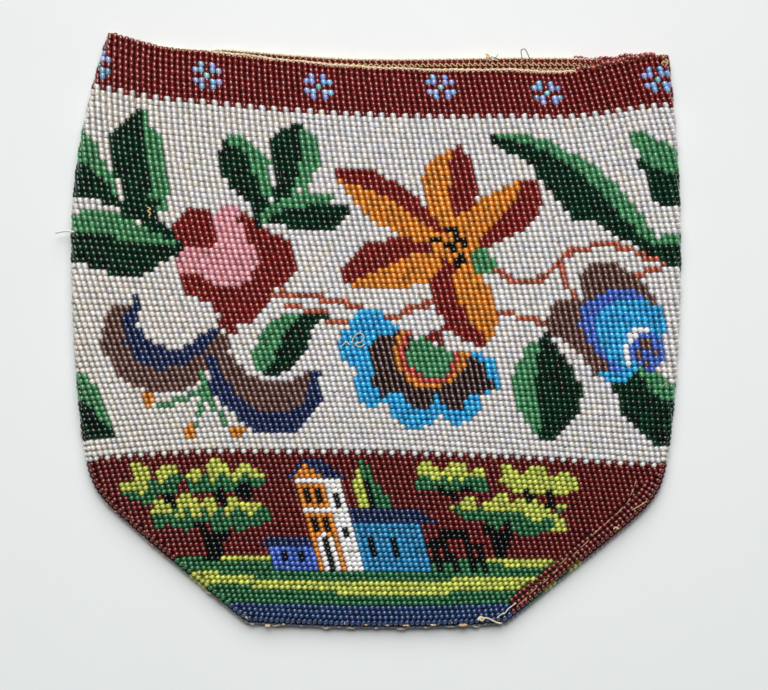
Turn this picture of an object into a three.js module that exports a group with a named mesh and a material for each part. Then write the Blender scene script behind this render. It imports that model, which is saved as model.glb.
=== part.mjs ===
// A bead-knit reticule: a small evening bag, knitted in the round from thread strung with glass beads.
// It lies empty on its back, front up and mouth towards +Y. All lengths are in millimetres.
import * as THREE from "three";

// Outline of the bag as it lies flat. Heights run up from the base seam, widths out from the centre line.
const bagLength = 173;
const shoulderHeight = 39.5;
const bellyHeight = 111;
const baseLeft = 38;
const baseRight = 37.7;
const shoulderLeft = 87.2;
const shoulderRight = 87;
const bellyLeft = 92;
const bellyRight = 91.7;
const mouthLeft = 81;
const mouthRight = 88;
const shoulderRound = 6;

// Hang of the courses: how far the middle of a course lies below its two ends, and the slope of the mouth.
const baseDip = 1.6;
const waistHeight = 50;
const waistDip = -3.6;
const frontMouthDip = 7;
const backMouthDip = 3.4;
const mouthSlope = 7.8;

// Knitted wall: one ridge for each course of beads, on a plain inner face.
const wall = 1.9;
const coursePitch = 1.53;
const grooveWidth = 0.55;
const grooveDepth = 0.4;

// Fullness of the empty bag: the rolled fold at each side, and the swell of the front between the folds.
const foldThickness = 4.8;
const frontSwell = 4.4;
const swellHeight = 78;

// Sewn and worked edges.
const edgingDiameter = 1.2;
const seamThreadDiameter = 0.7;
const sideSeamStart = 9;
const sideSeamEnd = 43;
const sideSeamStartInset = 0.6;
const sideSeamEndInset = 6;
const edgeSeamTop = 46;
const seatGap = 0.3;

// Fineness of the faceted surfaces.
const frontSegments = 6;
const foldSegments = 3;
const backSegments = 3;
const liningRings = 12;
const edgingSides = 8;
const threadSides = 6;
const threadStep = 3;

const courses = Math.round(bagLength / coursePitch);
const pitch = bagLength / courses;
const foldRadius = foldThickness / 2;
const left = { base: baseLeft, shoulder: shoulderLeft, belly: bellyLeft, mouth: mouthLeft };
const right = { base: baseRight, shoulder: shoulderRight, belly: bellyRight, mouth: mouthRight };

// The lesser of two widths, with the corner between them rounded.
function softMin(a, b, round) {
  return (a + b - Math.hypot(a - b, round)) / 2;
}

// Width of one side at a height: a slanted lower corner that rounds into a bellied flank.
function sideWidth(side, height) {
  const slant = side.base + ((side.shoulder - side.base) * height) / shoulderHeight;
  const above = height > bellyHeight;
  const reach = (height - bellyHeight) / ((above ? bagLength : shoulderHeight) - bellyHeight);
  const flank = side.belly - (side.belly - (above ? side.mouth : side.shoulder)) * reach ** 2;
  return softMin(slant, flank, shoulderRound);
}

// How far the middle of the course at a height hangs below its ends.
function courseDip(height, mouthDip) {
  return height < waistHeight
    ? THREE.MathUtils.lerp(baseDip, waistDip, height / waistHeight)
    : THREE.MathUtils.lerp(waistDip, mouthDip, (height - waistHeight) / (bagLength - waistHeight));
}

// Place along Y of a course, from -1 at the left fold to 1 at the right fold.
function courseY(height, across, mouthDip) {
  const slope = (mouthSlope / 2) * (height / bagLength) ** 3;
  return height - courseDip(height, mouthDip) * (1 - across ** 2) - slope * across;
}

// Centre and half-length of the flat run between the two folds.
function flatRun(height) {
  const leftWidth = sideWidth(left, height);
  const rightWidth = sideWidth(right, height);
  return { centre: (rightWidth - leftWidth) / 2, half: (rightWidth + leftWidth) / 2 - foldRadius };
}

// A point of the front wall, at a depth under the crests of the beads.
function frontPoint(height, across, depth) {
  const run = flatRun(height);
  const swell = frontSwell * THREE.MathUtils.smoothstep(height, 0, swellHeight) * (1 - across ** 4);
  const z = foldThickness + swell - depth;
  return new THREE.Vector3(run.centre + across * run.half, courseY(height, across, frontMouthDip), z);
}

// A point of the back wall, whose crests lie on the table.
function backPoint(height, across, depth) {
  const run = flatRun(height);
  return new THREE.Vector3(run.centre + across * run.half, courseY(height, across, backMouthDip), depth);
}

// A point of a side fold, which turns from the back at 0 to the front at 1.
function foldPoint(height, side, turn, depth) {
  const run = flatRun(height);
  const angle = (turn - 0.5) * Math.PI;
  const radius = foldRadius - depth;
  const x = run.centre + side * (run.half + radius * Math.cos(angle));
  return new THREE.Vector3(x, courseY(height, side, frontMouthDip), foldRadius + radius * Math.sin(angle));
}

// One closed ring around the bag: front from right to left, left fold, back from left to right, right fold.
function ring(height, depth) {
  const points = [];
  for (let i = 0; i <= frontSegments; i++) {
    points.push(frontPoint(height, 1 - (2 * i) / frontSegments, depth));
  }
  for (let i = 1; i < foldSegments; i++) {
    points.push(foldPoint(height, -1, 1 - i / foldSegments, depth));
  }
  for (let i = 0; i <= backSegments; i++) {
    points.push(backPoint(height, (2 * i) / backSegments - 1, depth));
  }
  for (let i = 1; i < foldSegments; i++) {
    points.push(foldPoint(height, 1, i / foldSegments, depth));
  }
  return points;
}

// Skins a row of rings into one closed surface. The row joins up on itself, or its two ends are fanned shut.
function loft(rings, joined) {
  const count = rings[0].length;
  const points = rings.flat();
  const faces = [];
  for (let r = 0; r < rings.length - (joined ? 0 : 1); r++) {
    const next = (r + 1) % rings.length;
    for (let i = 0; i < count; i++) {
      const j = (i + 1) % count;
      faces.push(r * count + i, next * count + i, r * count + j);
      faces.push(r * count + j, next * count + i, next * count + j);
    }
  }
  for (const end of joined ? [] : [0, rings.length - 1]) {
    const hub = points.length;
    points.push(rings[end].reduce((sum, p) => sum.add(p), new THREE.Vector3()).divideScalar(count));
    for (let i = 0; i < count; i++) {
      const a = end * count + i;
      const b = end * count + ((i + 1) % count);
      faces.push(hub, ...(end === 0 ? [a, b] : [b, a]));
    }
  }
  return new THREE.BufferGeometry().setFromPoints(points).setIndex(faces);
}

// The knitted body: ridged courses outside from base to mouth, then the plain inner face back down.
function bagBody() {
  const rings = [];
  for (let course = 0; course < courses; course++) {
    rings.push(ring(course * pitch, grooveDepth));
    rings.push(ring(course * pitch + grooveWidth / 2, 0));
    rings.push(ring((course + 1) * pitch - grooveWidth / 2, 0));
  }
  rings.push(ring(bagLength, grooveDepth));
  for (let i = 0; i < liningRings; i++) {
    rings.push(ring(THREE.MathUtils.lerp(bagLength, wall, i / (liningRings - 1)), wall));
  }
  return loft(rings, false);
}

// A worked thread edge that sits on the rim all the way round the mouth.
function mouthEdging() {
  const radius = edgingDiameter / 2;
  const outer = ring(bagLength, 0);
  const inner = ring(bagLength, wall);
  const sections = outer.map((point, i) => {
    const out = point.clone().sub(inner[i]).normalize();
    const centre = point.clone().add(inner[i]).multiplyScalar(0.5);
    centre.y += seatGap + radius;
    return Array.from({ length: edgingSides }, (_, k) => {
      const angle = (-2 * Math.PI * k) / edgingSides;
      const lift = new THREE.Vector3(0, radius * Math.sin(angle), 0);
      return centre.clone().addScaledVector(out, radius * Math.cos(angle)).add(lift);
    });
  });
  return loft(sections, true);
}

// A sewing thread along a smooth path.
function thread(path) {
  const curve = new THREE.CatmullRomCurve3(path, false, "chordal");
  const corners = Array.from({ length: threadSides }, (_, k) => {
    const angle = (2 * Math.PI * k) / threadSides;
    const reach = seamThreadDiameter / 2;
    return new THREE.Vector2(reach * Math.cos(angle), reach * Math.sin(angle));
  });
  const steps = Math.round(curve.getLength() / threadStep);
  return new THREE.ExtrudeGeometry(new THREE.Shape(corners), { steps, extrudePath: curve });
}

// The seam that closes the left corner and the base, just outside the folded edge.
function edgeSeamPath() {
  const offset = seatGap + seamThreadDiameter / 2;
  const corner = [];
  const count = Math.round(edgeSeamTop / threadStep);
  for (let i = 0; i <= count; i++) {
    corner.push(foldPoint(edgeSeamTop * (1 - i / count), -1, 0.5, 0));
  }
  const base = [];
  for (let i = 1; i <= frontSegments; i++) {
    base.push(frontPoint(0, (2 * i) / frontSegments - 1, 0).setZ(foldRadius));
  }
  const edge = [...corner, ...base];
  return edge.map((point, i) => {
    const along = edge[Math.min(i + 1, edge.length - 1)].clone().sub(edge[Math.max(i - 1, 0)]);
    const out = new THREE.Vector3(along.y, -along.x, 0).normalize();
    return point.clone().addScaledVector(out, offset);
  });
}

// The seam that closes the right corner, sewn through the front wall. It leans inwards towards its top.
function sideSeamPath() {
  const lift = new THREE.Vector3(0, 0, seatGap + seamThreadDiameter / 2);
  const count = Math.round((sideSeamEnd - sideSeamStart) / threadStep);
  return Array.from({ length: count + 1 }, (_, i) => {
    const height = THREE.MathUtils.lerp(sideSeamStart, sideSeamEnd, i / count);
    const inset = THREE.MathUtils.lerp(sideSeamStartInset, sideSeamEndInset, i / count);
    return frontPoint(height, 1 - inset / flatRun(height).half, 0).add(lift);
  });
}

const beadKnit = new THREE.MeshStandardMaterial({ color: "#cfc9c2", roughness: 0.3, metalness: 0 });
const silkThread = new THREE.MeshStandardMaterial({ color: "#c9a566", roughness: 0.75, metalness: 0 });

// A named piece of the bag, with shading normals for its faceted surface.
function piece(name, geometry, material) {
  geometry.computeVertexNormals();
  const mesh = new THREE.Mesh(geometry, material);
  mesh.name = name;
  return mesh;
}

const reticule = new THREE.Group();
reticule.add(
  piece("bag_body", bagBody(), beadKnit),
  piece("mouth_edging", mouthEdging(), silkThread),
  piece("base_seam_thread", thread(edgeSeamPath()), silkThread),
  piece("side_seam_thread", thread(sideSeamPath()), silkThread),
);

// The origin is on the table, under the middle of the bag.
const extent = new THREE.Box3().setFromObject(reticule);
const middle = extent.getCenter(new THREE.Vector3());
for (const mesh of reticule.children) {
  mesh.position.set(-middle.x, -middle.y, -extent.min.z);
}

export default reticule;
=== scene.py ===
import bpy
import numpy as np
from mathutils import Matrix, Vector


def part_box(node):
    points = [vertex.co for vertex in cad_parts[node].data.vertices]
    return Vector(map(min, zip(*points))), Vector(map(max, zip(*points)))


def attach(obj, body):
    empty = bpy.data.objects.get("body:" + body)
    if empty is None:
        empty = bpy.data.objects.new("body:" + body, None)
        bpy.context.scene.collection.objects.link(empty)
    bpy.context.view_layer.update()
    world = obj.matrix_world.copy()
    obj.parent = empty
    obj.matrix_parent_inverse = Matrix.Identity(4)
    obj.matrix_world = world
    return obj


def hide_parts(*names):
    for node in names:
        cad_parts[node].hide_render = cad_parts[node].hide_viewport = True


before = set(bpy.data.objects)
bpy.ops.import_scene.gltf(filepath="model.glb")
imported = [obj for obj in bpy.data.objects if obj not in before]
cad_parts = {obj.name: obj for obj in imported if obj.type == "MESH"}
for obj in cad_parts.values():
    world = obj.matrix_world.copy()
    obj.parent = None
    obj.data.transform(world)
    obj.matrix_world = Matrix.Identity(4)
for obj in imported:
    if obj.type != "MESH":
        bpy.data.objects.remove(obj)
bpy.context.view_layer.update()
rng = np.random.default_rng(11)

# The bag as it lies, with the same values as its solids.
BAG_LENGTH = 173.0
SHOULDER_HEIGHT = 39.5
BELLY_HEIGHT = 111.0
LEFT = {"base": 38.0, "shoulder": 87.2, "belly": 92.0, "mouth": 81.0}
RIGHT = {"base": 37.7, "shoulder": 87.0, "belly": 91.7, "mouth": 88.0}
SHOULDER_ROUND = 6.0
BASE_DIP = 1.6
WAIST_HEIGHT = 50.0
WAIST_DIP = -3.6
FRONT_MOUTH_DIP = 7.0
BACK_MOUTH_DIP = 3.4
MOUTH_SLOPE = 7.8
WALL = 1.9
FOLD_RADIUS = 2.4
FRONT_SWELL = 4.4
SWELL_HEIGHT = 78.0
SIDE_SEAM_TOP = 43.0

# Small departures of the soft courses from that shape: skew and tilt at the waist, a lift and a pull at
# the left, and rises and sags of the rim on the front and on the back.
WAIST_SKEW = 1.2
WAIST_TILT = 0.5
WAIST_SPREAD = 30
LEFT_LIFT = 0.7
LEFT_PULL = 1.5
PULL_HEIGHT = 122
PULL_SPREAD = 26
MOUTH_CURL = 1.3
LEFT_SAG = 1.3
RIGHT_SAG = 1.4
BACK_RISE = 2.1
BACK_FALL = 0.6
BACK_DROP = 1.0
BACK_LEFT_SAG = 1.3

# The knitting: beads in one round, courses above and below the line between the white and red grounds.
COLUMNS = 208
UPPER_COURSES = 74
LOWER_COURSES = 37
BAND_COURSES = 9
BAND_PITCH = 1.6
GROUND_LINE = 48.9
COURSE_LEAN = 0.232
FIRST_COLUMN = -0.36
FRONT_SPREAD = 0.06
GROUND_DEPTH = 1.15

# Beads: depth of their middles under the crests, their width, length and lean at the base and at the
# mouth, and the length of bag over which these change.
BEAD_DEPTH = 0.9
BEAD_WIDTH = (1.05, 0.93)
BEAD_FILL = (0.9, 1.32)
BEAD_LEAN = np.radians((38, 15))
LEAN_REACH = 160

# Differences from bead to bead.
LEAN_SPREAD = 0.12
TILT_SPREAD = 0.06
SHIFT_SPREAD = 0.05
WIDTH_RANGE = (0.95, 1.04)
LENGTH_RANGE = (0.93, 1.05)

# Sewn edge: top of the slanted corners, and rows of beads round the fold and beside the right-hand seam.
CORNER_TOP = 58.0
CORNER_PULL = 1.5
BASE_FOLD = 2.4
BASE_MARGIN = 0.6
EDGE_SAMPLES = 80
STRIP_WIDTH = 3.3
STRIP_FOOT = 4.6
STRIP_LEAD = 0.9
STRIP_FADE = 1.2
STRIP_STEP = 1.62
STRIP_RADIUS = 0.82
STRIP_LENGTH = 1.42
FOLD_TURNS = np.radians((72, 10, -52))
SEAM_INSETS = (0.9, 2.5)
SEAM_ACROSS = 0.97
SEAM_FOOT_COURSE = 34
COLOUR_INSET = 1.5

# The photograph: size of a pixel on the bag, the pixel over the middle of the base seam, and the camera.
PIXEL = 0.3
BASE_PIXEL = (376.5, 624.0)
PHOTO_SIZE = (768, 690)
CAMERA_DISTANCE = 800.0
CAMERA_PLANE = 2.4
SENSOR_WIDTH = 36


# Shape of the bag

def ramp(x, start, length):
    """A smooth rise from 0 to 1."""
    x = np.clip((x - start) / length, 0, 1)
    return x * x * (3 - 2 * x)


def bell(x, middle, spread):
    return np.exp(-(((x - middle) / spread) ** 2))


def unit(vectors):
    return vectors / np.linalg.norm(vectors, axis=-1, keepdims=True)


def soft_min(a, b, round_off):
    """The lesser of two widths, with the corner between them rounded."""
    return (a + b - np.hypot(a - b, round_off)) / 2


def side_width(side, height):
    """Width of one side at a height: a slanted lower corner that rounds into a bellied flank."""
    slant = side["base"] + (side["shoulder"] - side["base"]) * height / SHOULDER_HEIGHT
    above = height > BELLY_HEIGHT
    reach = (height - BELLY_HEIGHT) / (np.where(above, BAG_LENGTH, SHOULDER_HEIGHT) - BELLY_HEIGHT)
    end = np.where(above, side["mouth"], side["shoulder"])
    return soft_min(slant, side["belly"] - (side["belly"] - end) * reach**2, SHOULDER_ROUND)


def edge_slant(side, height):
    """Length of a level step from the edge for each unit of distance square to the edge."""
    return np.hypot(1, side_width(side, height + 0.5) - side_width(side, height - 0.5))


def flat_run(height):
    """Centre and half-length of the flat run between the two folds."""
    left = side_width(LEFT, height)
    right = side_width(RIGHT, height)
    return (right - left) / 2, (right + left) / 2 - FOLD_RADIUS


def uncut_run(height):
    """The same run without the slant of the lower corners, in which the columns of beads are counted."""
    centre, half = flat_run(np.maximum(height, CORNER_TOP))
    return centre, half - CORNER_PULL * np.clip(1 - height / CORNER_TOP, 0, 1)


def rim_drape(height, across, on_back):
    """Rises and sags of the soft rim, which fade out down the bag."""
    curl = MOUTH_CURL * ramp(across, 0.74, 0.2)
    sag = LEFT_SAG * bell(across, -0.82, 0.16) + RIGHT_SAG * bell(across, 0.64, 0.13)
    back = BACK_RISE * ramp(across, -0.25, 0.75) - BACK_FALL * ramp(across, 0.62, 0.2) - BACK_DROP
    back = back - BACK_LEFT_SAG * ramp(-across, 0.58, 0.12)
    drape = np.where(on_back, back, -sag) * (1 - across**16)
    return (curl + drape) * (height / BAG_LENGTH) ** 6


def course_y(height, across, on_back=False):
    """Place along Y of a course, from -1 at the left fold to 1 at the right fold."""
    low_dip = BASE_DIP + (WAIST_DIP - BASE_DIP) * height / WAIST_HEIGHT
    mouth_dip = np.where(on_back, BACK_MOUTH_DIP, FRONT_MOUTH_DIP)
    up = (height - WAIST_HEIGHT) / (BAG_LENGTH - WAIST_HEIGHT)
    dip = np.where(height < WAIST_HEIGHT, low_dip, WAIST_DIP + (mouth_dip - WAIST_DIP) * up)
    slope = MOUTH_SLOPE / 2 * (height / BAG_LENGTH) ** 3
    skew = WAIST_SKEW * (across**3 - across) - WAIST_TILT * across + LEFT_LIFT * ramp(-across, 0.3, 0.3)
    waist = bell(height, GROUND_LINE, WAIST_SPREAD) * skew
    pull = LEFT_PULL * ramp(-across, 0.45, 0.5) * bell(height, PULL_HEIGHT, PULL_SPREAD)
    hang = height - dip * (1 - across**2) - slope * across
    return hang + waist + pull + rim_drape(height, across, on_back)


def swell(height, across):
    """How far the front rises between the folds."""
    return FRONT_SWELL * ramp(height, 0, SWELL_HEIGHT) * (1 - across**4)


body_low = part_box("bag_body")[0]
left_reach = side_width(LEFT, np.linspace(0, BAG_LENGTH, 500)).max()
BASE_MIDDLE = np.array([body_low.x * 1000 + left_reach, body_low.y * 1000 + BASE_DIP, 0.0])
CAMERA_X = BASE_MIDDLE[0] + PIXEL * (PHOTO_SIZE[0] / 2 - BASE_PIXEL[0])
CAMERA_Y = BASE_MIDDLE[1] - PIXEL * (PHOTO_SIZE[1] / 2 - BASE_PIXEL[1])


def surface(height, around, depth):
    """Points of the wall at a height, a distance round from the middle of the front and a depth."""
    height, around, depth = np.broadcast_arrays(*(np.asarray(v, float) for v in (height, around, depth)))
    centre, half = flat_run(height)
    fold = FOLD_RADIUS - BEAD_DEPTH
    side = np.where(around < 0, -1.0, 1.0)
    reach = np.abs(around)
    turn = np.clip((reach - half) / fold, 0, np.pi)
    on_back = reach > half + np.pi * fold
    behind = 1 - (reach - half - np.pi * fold) / half
    across = np.where(on_back, behind, np.minimum(reach / half, 1)) * side
    x = centre + across * half + side * (FOLD_RADIUS - depth) * np.sin(turn)
    y = course_y(height, across, on_back)
    z = FOLD_RADIUS + (FOLD_RADIUS - depth) * np.cos(turn) + swell(height, across) * ~on_back
    return np.stack([x, y, z], -1) + BASE_MIDDLE


def back_around(height, across):
    """Distance round to a place on the back wall, from -1 at the left fold to 1 at the right fold."""
    half = flat_run(height)[1]
    reach = half + np.pi * (FOLD_RADIUS - BEAD_DEPTH) + (1 - np.abs(across)) * half
    return np.where(across < 0, -reach, reach)


def wall_frame(height, around):
    """Unit vectors along the course, up the wall and out of it, and the wall for a unit of height."""
    step = 0.2
    along = unit(surface(height, around + step, BEAD_DEPTH) - surface(height, around - step, BEAD_DEPTH))
    up = surface(height + step, around, BEAD_DEPTH) - surface(height - step, around, BEAD_DEPTH)
    out = unit(np.cross(along, up))
    square = np.cross(out, along)
    return along, square, out, (up * square).sum(-1) / (2 * step)


def photo_pixel(points):
    """The photograph's pixels at which points of the row frame are seen."""
    scale = CAMERA_DISTANCE / (CAMERA_DISTANCE + CAMERA_PLANE - points[..., 2]) / PIXEL
    x = PHOTO_SIZE[0] / 2 + (points[..., 0] - CAMERA_X) * scale
    return x, PHOTO_SIZE[1] / 2 - (points[..., 1] - CAMERA_Y) * scale


def under_pixel(x, y, z):
    """The point of the row frame that is seen at a pixel, at a height over the table."""
    scale = PIXEL * (CAMERA_DISTANCE + CAMERA_PLANE - z) / CAMERA_DISTANCE
    right = CAMERA_X + (x - PHOTO_SIZE[0] / 2) * scale
    return np.array([right, CAMERA_Y - (y - PHOTO_SIZE[1] / 2) * scale, z])


def on_front(x, y, lift):
    """The point of the front's crests, raised by a lift, that is seen at a pixel."""
    # A few rounds from a first guess settle where it lies.
    z = 7.0
    height = 80.0
    for _ in range(6):
        point = under_pixel(x, y, z)
        centre, half = flat_run(np.float64(height))
        across = np.clip((point[0] - BASE_MIDDLE[0] - centre) / half, -1, 1)
        height = np.clip(height + point[1] - BASE_MIDDLE[1] - course_y(height, across), 0, BAG_LENGTH)
        z = 2 * FOLD_RADIUS + swell(height, across) + lift
    return under_pixel(x, y, z)


def resampled(line, step):
    """Points at even steps along a line, and how far along it each one lies."""
    length = np.concatenate([[0], np.cumsum(np.linalg.norm(np.diff(line, axis=0), axis=1))])
    at = np.arange(0, length[-1], step)
    return np.stack([np.interp(at, length, values) for values in line.T], -1), at


# Colours of the beads, in sRGB levels

PALETTE = {
    "white": (229, 226, 223),
    "bright": (252, 251, 248),
    "garnet": (108, 7, 5),
    "wine": (88, 6, 5),
    "petal": (122, 18, 10),
    "chestnut": (150, 62, 48),
    "dark": (4, 49, 27),
    "green": (82, 154, 104),
    "tree": (44, 116, 68),
    "yellow": (212, 222, 100),
    "orange": (231, 148, 20),
    "pink": (244, 176, 190),
    "rust": (194, 98, 70),
    "brown": (106, 69, 59),
    "peony": (42, 15, 15),
    "navy": (19, 33, 80),
    "slate": (40, 66, 112),
    "sky": (45, 182, 238),
    "azure": (37, 152, 202),
    "periwinkle": (78, 118, 213),
    "floret": (172, 194, 248),
    "aqua": (160, 228, 230),
    "scarlet": (210, 76, 68),
    "black": (10, 9, 10),
}
CODE = {name: code for code, name in enumerate(PALETTE)}


def linear(colour):
    """Linear light of an sRGB colour."""
    level = np.asarray(colour, float) / 255
    return np.where(level <= 0.04045, level / 12.92, ((level + 0.055) / 1.055) ** 2.4)


LIGHTS = np.array([linear(colour) for colour in PALETTE.values()])

# How far the columns lean to the right for each course down and half their width, in pixels, and the
# lowest course of the houses.
COLUMN_LEAN = 1.37
HALF_COLUMN = 2.9
HOUSE_FOOT = 24


class Chart:
    """Colours points of the photograph's plane with simple shapes, each over the ones before it."""

    def __init__(self, x, y, row, start):
        self.x = x
        self.y = y
        self.row = row
        self.colour = start

    def paint(self, name, within):
        self.colour[within] = CODE[name]

    def fill(self, name, *corners):
        within = np.zeros(self.x.shape, bool)
        for (x0, y0), (x1, y1) in zip(corners, corners[1:] + corners[:1]):
            crosses = (y0 > self.y) != (y1 > self.y)
            within ^= crosses & (self.x < x0 + (x1 - x0) * (self.y - y0) / ((y1 - y0) or 1))
        self.paint(name, within)

    def courses(self, name, first, last, x0, x1, lean=0.0):
        """Colours a stretch of courses, which are counted down from the line between the grounds."""
        x = self.x + lean * (HOUSE_FOOT - self.row)
        self.paint(name, (self.row >= first) & (self.row <= last) & (x > x0) & (x < x1))

    def block(self, name, first, last, x0, x1):
        """The same between two columns, which lean with the knit. X is that of the foot of the houses."""
        self.courses(name, first, last, x0, x1, COLUMN_LEAN)

    def line(self, name, width, *points):
        for (x0, y0), (x1, y1) in zip(points, points[1:]):
            dx = x1 - x0
            dy = y1 - y0
            share = np.clip(((self.x - x0) * dx + (self.y - y0) * dy) / (dx * dx + dy * dy), 0, 1)
            self.spot(name, width / 2, (x0 + share * dx, y0 + share * dy))

    def spot(self, name, radius, *centres):
        for x, y in centres:
            self.paint(name, np.hypot(self.x - x, self.y - y) < radius)


def draw_leaves(c):
    # Three leaves at the left edge.
    c.fill("green", (140, 108), (148, 113), (150, 124), (158, 133), (163, 147), (167, 163),
           (170, 182), (164, 216), (151, 200), (142, 140))
    c.fill("dark", (139, 107), (127, 117), (114, 128), (109, 140), (113, 174), (121, 193), (124, 203),
           (100, 212), (178, 244), (170, 229), (160, 222), (158, 201), (151, 200), (147, 170),
           (142, 140), (142, 110))
    c.fill("green", (84, 130), (92, 138), (98, 148), (103, 159), (110, 169), (121, 196), (114, 196),
           (60, 160), (60, 140))
    c.fill("dark", (60, 160), (86, 161), (97, 172), (113, 193), (126, 204), (60, 206))
    c.fill("green", (60, 213), (104, 211), (128, 217), (160, 236), (178, 241), (180, 246), (60, 235))
    c.fill("dark", (60, 233), (103, 236), (125, 240), (160, 243), (186, 243), (182, 251), (160, 264),
           (145, 275), (92, 272), (90, 265), (60, 258))
    c.fill("white", (60, 198), (101, 201), (102, 205), (121, 209), (121, 214))
    c.spot("white", 3.0, (118, 183), (119, 188.5), (130, 219.7), (136.3, 221.7), (143.7, 227.3),
           (163, 221), (170, 228))
    # Three leaves to the right of the rose.
    c.fill("green", (226, 134), (240, 136), (270, 161), (272, 180), (270, 201), (267, 205), (232, 146))
    c.fill("dark", (227, 134), (218, 158), (221, 174), (231, 187), (246, 199), (255, 212), (258, 230),
           (264, 229), (268, 206), (244, 153), (232, 146))
    c.fill("green", (300, 123), (318, 140), (322, 156), (316, 173), (304, 188), (292, 194))
    c.fill("dark", (300, 123), (284, 128), (274, 132), (269, 144), (272, 158), (278, 176), (274, 190),
           (275, 201), (285, 200), (294, 189), (299, 168), (301, 148))
    c.fill("green", (340, 200), (320, 193), (302, 190), (285, 198), (268, 205), (261, 214),
           (263, 225), (272, 213), (326, 203))
    c.fill("dark", (326, 202), (345, 205), (349, 213), (338, 227), (322, 232), (290, 231), (286, 225),
           (266, 223), (272, 213), (300, 208))
    # The long leaf and the leaf over it at the right edge.
    c.fill("green", (493, 135), (520, 134), (548, 140), (566, 152), (594, 164), (620, 189),
           (641, 215), (657, 237), (652, 247))
    c.fill("dark", (487, 139), (493, 135), (540, 148), (566, 163), (592, 185), (652, 247), (700, 246),
           (700, 265), (668, 266), (645, 251), (612, 234), (592, 220), (571, 219), (560, 203),
           (543, 184), (531, 164), (505, 152))
    c.fill("green", (657, 237), (700, 231), (700, 246), (655, 247))
    c.fill("green", (630, 132), (646, 134), (676, 149), (700, 177), (668, 174), (640, 161))
    c.fill("dark", (638, 160), (668, 174), (700, 177), (700, 207), (668, 208), (650, 202), (646, 184))
    # The leaf under the rose, and the one at the lower left edge.
    c.fill("green", (302, 312), (280, 316), (263, 328), (253, 352), (257, 372), (266, 371))
    c.fill("dark", (302, 313), (326, 313), (327, 319), (312, 326), (308, 345), (296, 366), (278, 377),
           (260, 377), (266, 370), (278, 350), (288, 329))
    c.fill("green", (60, 371), (82, 373), (98, 387), (105, 407), (110, 428), (60, 393))
    c.fill("dark", (60, 393), (90, 404), (98, 421), (114, 432), (112, 438), (60, 441))
    # The two leaves under the right-hand flower.
    c.fill("green", (544, 332), (525, 350), (513, 370), (513, 390), (520, 412), (540, 441))
    c.fill("dark", (544, 330), (557, 349), (573, 369), (582, 390), (581, 412), (568, 426), (550, 442),
           (540, 440), (540, 420), (536, 390), (537, 355))
    c.fill("green", (634, 369), (661, 370), (674, 390), (700, 394), (665, 401), (648, 388))
    c.fill("dark", (636, 371), (613, 384), (616, 398), (625, 418), (642, 434), (660, 448), (700, 447),
           (700, 404), (665, 401), (648, 388))


def draw_stems(c):
    for path in (
        ((497, 271), (515, 281), (537, 281), (549, 275), (560, 261), (571, 252), (588, 251),
         (592, 246), (618, 246), (634, 251), (646, 258), (657, 260)),
        ((558, 265), (565, 281), (575, 299)),
        ((632, 278), (645, 273), (658, 270), (665, 263)),
        ((500, 312), (510, 314), (520, 318), (548, 323)),
        ((268, 299), (280, 293), (318, 295)),
        ((288, 305), (301, 306), (306, 311), (323, 311)),
        ((320, 303), (346, 303), (360, 308)),
        ((328, 320), (350, 320)),
        ((388, 319), (400, 317), (411, 308), (436, 302)),
    ):
        c.line("rust", 5.8, *path)
    c.fill("petal", (219, 319), (238, 320), (237, 335), (229, 335), (222, 328))


def draw_rose(c):
    c.fill("petal", (239, 211), (248, 212), (258, 227), (284, 236), (293, 248), (298, 268),
           (286, 283), (271, 291), (267, 305), (255, 322), (232, 327), (207, 302), (186, 293),
           (179, 272))
    c.fill("pink", (223, 204), (240, 205), (238, 218), (248, 237), (257, 252), (259, 264), (251, 278),
           (239, 286), (212, 284), (200, 277), (178, 275), (175, 256), (190, 247), (209, 219))
    c.fill("petal", (185, 210), (206, 209), (217, 231), (213, 250), (192, 247), (178, 240), (173, 225))


def draw_lily(c):
    # Each petal is orange on one side and dark red on the other.
    c.fill("orange", (339, 181), (360, 186), (386, 198), (440, 232), (440, 250), (404, 238),
           (384, 227), (363, 213), (350, 197))
    c.fill("petal", (336, 169), (372, 170), (402, 185), (424, 204), (444, 230), (440, 234),
           (386, 198), (360, 187), (340, 180))
    c.fill("orange", (451, 149), (436, 156), (424, 166), (421, 187), (426, 208), (438, 225),
           (454, 228))
    c.fill("petal", (451, 148), (463, 146), (472, 165), (478, 185), (474, 206), (456, 227),
           (451, 212), (450, 180))
    c.fill("orange", (525, 178), (495, 190), (472, 206), (453, 222), (448, 245), (476, 248),
           (514, 199))
    c.fill("petal", (525, 178), (534, 178), (541, 200), (536, 222), (512, 236), (484, 250),
           (476, 248), (495, 221), (514, 199))
    c.fill("petal", (365, 244), (388, 239), (416, 240), (447, 252), (352, 284), (340, 284), (343, 270))
    c.fill("orange", (447, 252), (404, 256), (382, 268), (350, 284), (352, 290), (400, 289),
           (432, 281))
    c.fill("orange", (430, 234), (456, 226), (480, 247), (474, 262), (438, 262))
    c.fill("petal", (444, 260), (457, 266), (457, 297), (445, 327), (429, 282))
    c.fill("orange", (470, 255), (455, 266), (452, 280), (457, 297), (470, 321), (487, 341),
           (496, 334), (497, 312), (490, 288))
    c.line("black", 6, (435, 239), (455, 248))
    c.line("black", 6, (451, 229), (463, 243))
    c.line("black", 7, (461, 257), (456, 266))
    c.fill("green", (469, 251), (485, 250), (496, 264), (491, 275), (480, 275), (470, 263))


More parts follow.
